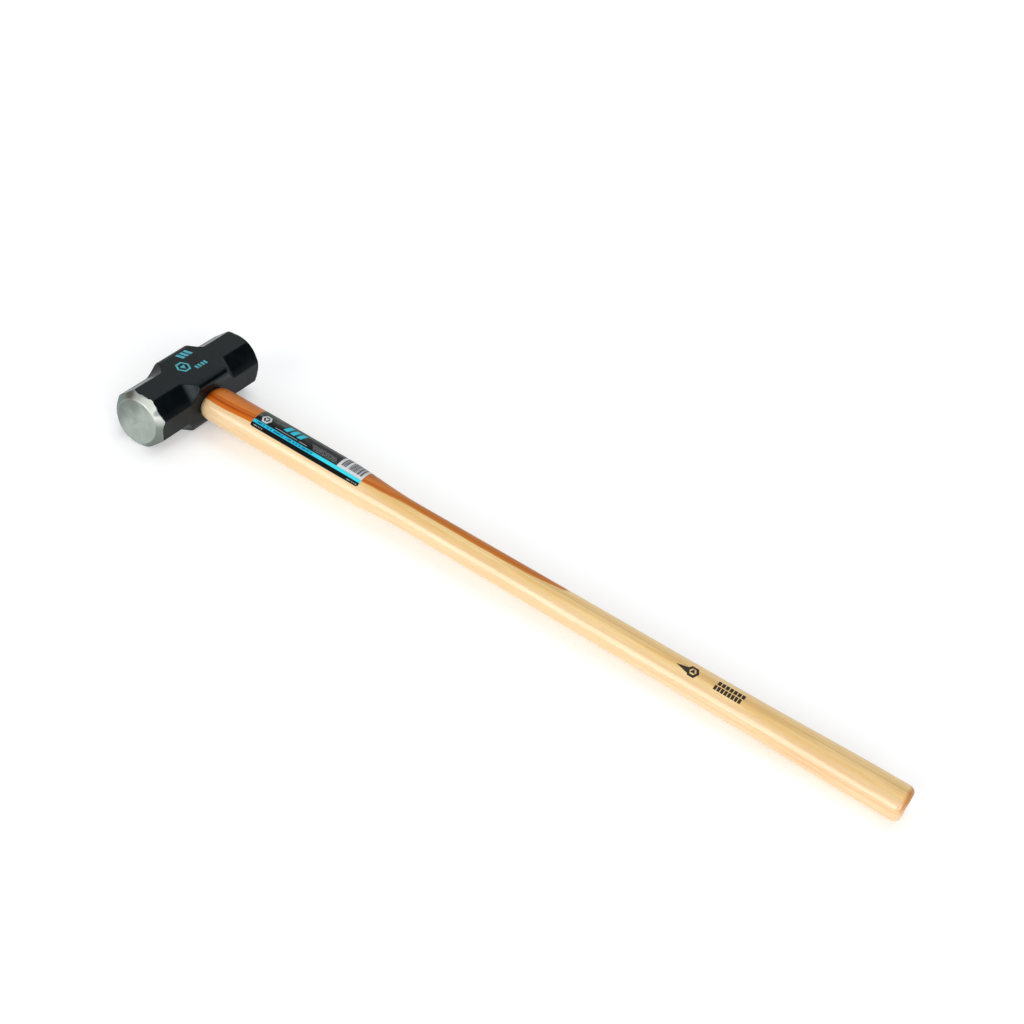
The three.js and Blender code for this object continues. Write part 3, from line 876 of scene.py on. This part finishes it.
def label_finish():
    """Printed film: a dark field, a cyan and a black stripe, plain marks and a block of bars.

    It is laid out in millimetres along the handle and degrees round it. The angles grow from
    the handle's back, over its top, to the stripes in front."""
    f = Finish("printed_film")
    x, angle = f.x, f.wrap_angle()
    cyan_from, black_from, white_from = 111.6, 122.6, 204.0
    # dark field
    smoke = f.noise(f.vector(x / 26, angle / 22, 0.0), detail=5.0, roughness=0.6, distortion=0.8)
    lift = angle.rise(104, 70)
    field = f.mix(lift * smoke.rise(0.25, 0.65, 0.5, 1.0), (0.006, 0.007, 0.007), (0.085, 0.10, 0.095))
    wisps = smoke.rise(0.52, 0.7) * x.band(98, 132, 10) * angle.band(74, 98, 8)
    field = f.mix(wisps * 0.5, field, (0.30, 0.33, 0.32))
    panel = (x - 163 - (angle - 92) * 0.6).rise(0.0, 1.0) * angle.rise(66, 74)
    field = f.mix(panel * 0.75, field, (0.018, 0.020, 0.020))
    # marks on the dark field: an emblem, cyan bars, two thin rules and a block of small print
    emblem_x, emblem_angle, emblem_size = 106.5, 94.5, 5.2
    light = emblem(x - emblem_x, (angle - emblem_angle) * SHOULDER_DEGREE, emblem_size, 0.66)
    field = f.mix(light * 0.9, field, (0.62, 0.65, 0.64))
    bars_x, bars_angle, bars_length, bars_degrees = 128.5, 96.5, 26.0, 25.0
    cyan_mark = slanted_bars(x - bars_x, bars_angle - angle, bars_length, bars_degrees, 3, 0.12)
    field = f.mix(cyan_mark, field, (0.03, 0.52, 0.68))
    rule = angle.band(104.4, 105.6, 0.3) * x.band(121, 150, 0.3)
    rule = rule.larger(angle.band(104.6, 106.0, 0.3) * x.band(152.5, 163, 0.3))
    field = f.mix(rule * 0.85, field, (0.5, 0.52, 0.52))
    line = angle / 2.7
    lines = line.fraction().band(0.3, 0.72, 0.1)
    words = f.noise(f.vector(x / 1.1, line.math("FLOOR") * 3.7, 0.0), detail=1.0).rise(0.4, 0.46)
    block = lines * words * angle.band(87.5, 107, 0.3) * (x - (angle - 88) * 0.3).band(166, 198, 0.4)
    field = f.mix(block * 0.6, field, (0.30, 0.31, 0.31))
    # white block with upright bars of several widths, in two groups
    white = x.rise(white_from, white_from + 0.4) * angle.rise(cyan_from - 0.2, cyan_from + 0.4, 1.0, 0.0)
    sizes = f.noise(f.vector(x / 1.9, 4.2, 0.0), detail=1.0)
    bars = ((x + sizes * 2.4) / 1.45).fraction().band(0.1, 0.68, 0.06)
    bars = bars * x.band(207.3, 234.2, 0.1) * (1 - x.band(213.6, 216.2, 0.1)) * angle.band(40, 101, 0.6)
    paper = f.mix(bars, (0.64, 0.66, 0.67), (0.028, 0.030, 0.030))
    field = f.mix(white, field, paper)
    # stripes, with small print
    stripe = f.mix(x.rise(150, 200), (0.02, 0.46, 0.67), (0.045, 0.66, 0.78))
    cyan = f.mix(text_bars(f, x - 98.5, angle - 115, 76.0, 4.6, 1.7), stripe, (0.008, 0.14, 0.26))
    field = f.mix(angle.rise(cyan_from, cyan_from + 0.6), field, cyan)
    text = text_bars(f, x - 98.0, angle - 128.6, 12.0, 2.6, 0.8)
    text = text.larger(text_bars(f, x - 222.0, angle - 129.6, 13.0, 2.6, 0.8))
    black = f.mix(text * 0.7, (0.004, 0.0045, 0.005), (0.45, 0.46, 0.46))
    field = f.mix(angle.rise(black_from, black_from + 0.6), field, black)
    grain = f.noise(f.place, scale=0.8, detail=2.0)
    f.set(Base_Color=field, Roughness=grain.rise(0.3, 0.7, 0.38, 0.46))
    f.set(Specular_IOR_Level=0.12)
    f.bump(grain, 0.02)
    return f.material


def floor_finish():
    """A pale matt floor, which glows faintly so that it shows as white."""
    f = Finish("pale_floor")
    tone = f.noise(f.place, scale=0.004, detail=2.0)
    f.set(Base_Color=f.mix(tone, (0.84, 0.845, 0.85), (0.86, 0.865, 0.87)))
    f.set(Roughness=0.9, Specular_IOR_Level=0.2)
    f.set(Emission_Color=(1.0, 1.0, 1.0), Emission_Strength=0.29)
    return f.material


# ---- Putting the pieces in place ---------------------------------------------------------------
def place(thing, finish, slot, *nodes):
    """Gives a piece its material, and lets it stand for its CAD node. slot is not used."""
    thing.data.materials.clear()
    thing.data.materials.append(finish)
    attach(thing, "root")
    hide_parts(*nodes)


place(make_head(), painted_head_finish(), "head_paint", "hammer_head")
place(make_handle(), hickory_finish(), "hickory", "handle")
place(make_timber_wedge(), beech_finish(), "wedge_timber", "timber_wedge")
wedge_steel = wedge_steel_finish()
for number, side in ((1, -1), (2, 1)):
    wedge = steel_wedge_body("steel_wedge_%d_bar" % number, side, 0)
    finish_shading(wedge, 35)
    place(wedge, wedge_steel, "wedge_steel", "steel_wedge_%d" % number)
place(make_label(), label_finish(), "label_film", "handle_label")

# ---- Floor, light and camera -------------------------------------------------------------------
# The floor's reach to each side is in metres.
FLOOR_REACH = 12
FLOOR_CELLS = 8


def make_floor():
    steps = np.linspace(-FLOOR_REACH, FLOOR_REACH, FLOOR_CELLS + 1)
    bm = bmesh.new()
    corners = [[bm.verts.new((x, y, 0)) for x in steps] for y in steps]
    for i in range(FLOOR_CELLS):
        for j in range(FLOOR_CELLS):
            bm.faces.new((corners[i][j], corners[i][j + 1], corners[i + 1][j + 1], corners[i + 1][j]))
    mesh = bpy.data.meshes.new("floor")
    bm.to_mesh(mesh)
    bm.free()
    mesh.materials.append(floor_finish())
    floor = bpy.data.objects.new("floor", mesh)
    bpy.context.scene.collection.objects.link(floor)
    return floor


floor = make_floor()


def direction(azimuth, elevation):
    """A unit vector. Azimuth 0 is towards -Y, and 90 towards +X."""
    a, e = math.radians(azimuth), math.radians(elevation)
    return Vector((math.sin(a) * math.cos(e), -math.cos(a) * math.cos(e), math.sin(e)))


def soft_sun(name, azimuth, elevation, spread, strength):
    """A light from one direction, as soft as a lamp that spreads over that many degrees."""
    light = bpy.data.lights.new(name, "SUN")
    light.angle = math.radians(spread)
    light.energy = strength
    lamp = bpy.data.objects.new(name, light)
    lamp.rotation_euler = direction(azimuth, elevation).to_track_quat("Z", "Y").to_euler()
    bpy.context.scene.collection.objects.link(lamp)


soft_sun("front_left_light", -12, 20, 36, 1.12)
soft_sun("front_right_light", 50, 25, 36, 1.05)
soft_sun("overhead_light", 180, 78, 46, 0.5)

SKY_COLOUR = (0.98, 0.99, 1.0, 1)
SKY_STRENGTH = 0.74
world = bpy.data.worlds.new("studio")
bpy.context.scene.world = world
world.use_nodes = True
tree = world.node_tree
backdrop = next(n for n in tree.nodes if n.type == "BACKGROUND")
facing = tree.nodes.new("ShaderNodeTexCoord")


def unlit(centre, low, high, depth):
    """What is left of the sky's light round a direction where the studio has no lamp or wall.

    low and high are the cosines of the angles between which the light falls by depth."""
    toward = tree.nodes.new("ShaderNodeVectorMath")
    toward.operation = "DOT_PRODUCT"
    toward.inputs[1].default_value = Vector(centre).normalized()
    tree.links.new(facing.outputs["Generated"], toward.inputs[0])
    return Signal(tree, toward.outputs["Value"]).rise(low, high, 1.0, 1.0 - depth)


sky = unlit((0.70, 0.62, 0.36), 0.77, 0.91, 0.98) * unlit((-0.20, -0.35, 0.91), 0.62, 0.92, 0.6)
backdrop.inputs["Color"].default_value = SKY_COLOUR
put(tree, backdrop.inputs["Strength"], sky * SKY_STRENGTH)

# The camera's direction and place are in the hammer's frame.
CAMERA_AZIMUTH, CAMERA_ELEVATION, CAMERA_ROLL = 21.114, 38.451, math.radians(16.238)
CAMERA_AT = Vector((922.26, -1332.51, 1210.07)) * MM
CAMERA_LENS = 63.28
lens = bpy.data.cameras.new("camera")
lens.lens = CAMERA_LENS
lens.sensor_width = 36
lens.clip_start, lens.clip_end = 0.05, 100
camera = bpy.data.objects.new("camera", lens)
bpy.context.scene.collection.objects.link(camera)
bpy.context.scene.camera = camera
back = direction(CAMERA_AZIMUTH, CAMERA_ELEVATION)
level = Vector((0, 0, 1)).cross(back).normalized()
upright = back.cross(level)
right = level * math.cos(CAMERA_ROLL) + upright * math.sin(CAMERA_ROLL)
up = back.cross(right)
turned = Matrix((right, up, back)).transposed().to_4x4()
camera.matrix_world = REST @ Matrix.Translation(CAMERA_AT) @ turned

bpy.context.scene.view_settings.view_transform = "Standard"
bpy.context.scene.view_settings.look = "None"
